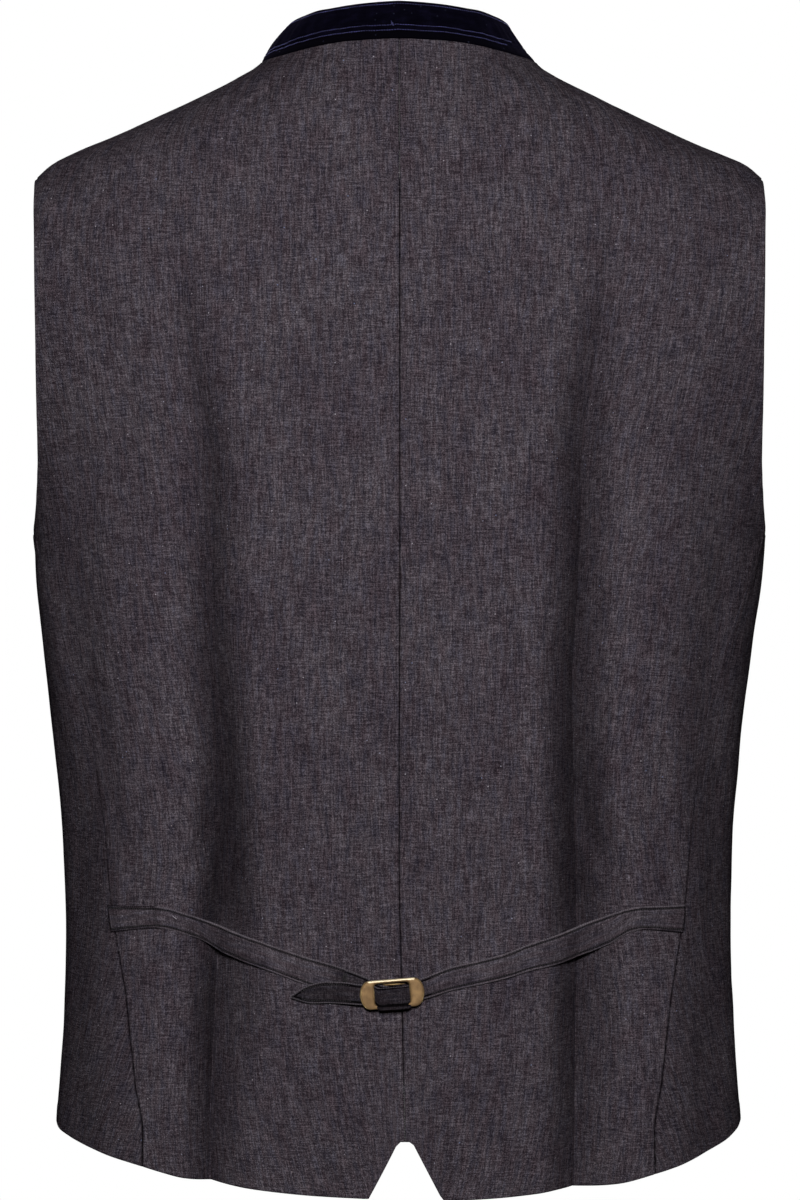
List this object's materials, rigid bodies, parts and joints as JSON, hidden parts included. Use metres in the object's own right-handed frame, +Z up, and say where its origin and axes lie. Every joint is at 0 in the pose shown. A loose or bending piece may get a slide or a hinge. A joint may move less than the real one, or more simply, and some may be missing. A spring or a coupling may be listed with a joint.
{
  "type": "waistcoat",
  "caption": "Man's waistcoat in charcoal melange cloth with velvet stand collar and buckled back belt, filled out as if worn, with open neck, armholes and hem.",
  "frame": {"origin": "where the wearer's shoulders hold the garment: on the centre plane, below the line of the shoulder seams, level with the two side neck points", "axes": "+Z up, +Y the way the wearer faces, +X to the wearer's right; the back with its belt faces -Y"},
  "size_m": [0.4026, 0.2454, 0.6497],
  "materials": {
    "melange_cloth": "plain weave of charcoal and purple-brown melange wool, matt",
    "navy_velvet": "short-pile navy-black velvet with blue topstitching",
    "belt_cloth": "the same melange cloth, doubled and edge-stitched",
    "antique_brass": "antique brass, worn bright on the edges",
    "horn": "polished dark horn"
  },
  "bodies": {
    "root": {"back_left": "melange_cloth", "back_right": "melange_cloth", "front_left": "melange_cloth", "front_right": "melange_cloth", "collar": "navy_velvet", "strap_left": "belt_cloth", "strap_right": "belt_cloth", "buckle_frame": "antique_brass", "buckle_tooth_bar": "antique_brass", "button_1": "horn", "button_2": "horn", "button_3": "horn", "button_4": "horn", "button_5": "horn", "button_6": "horn"}
  },
  "joints": []
}
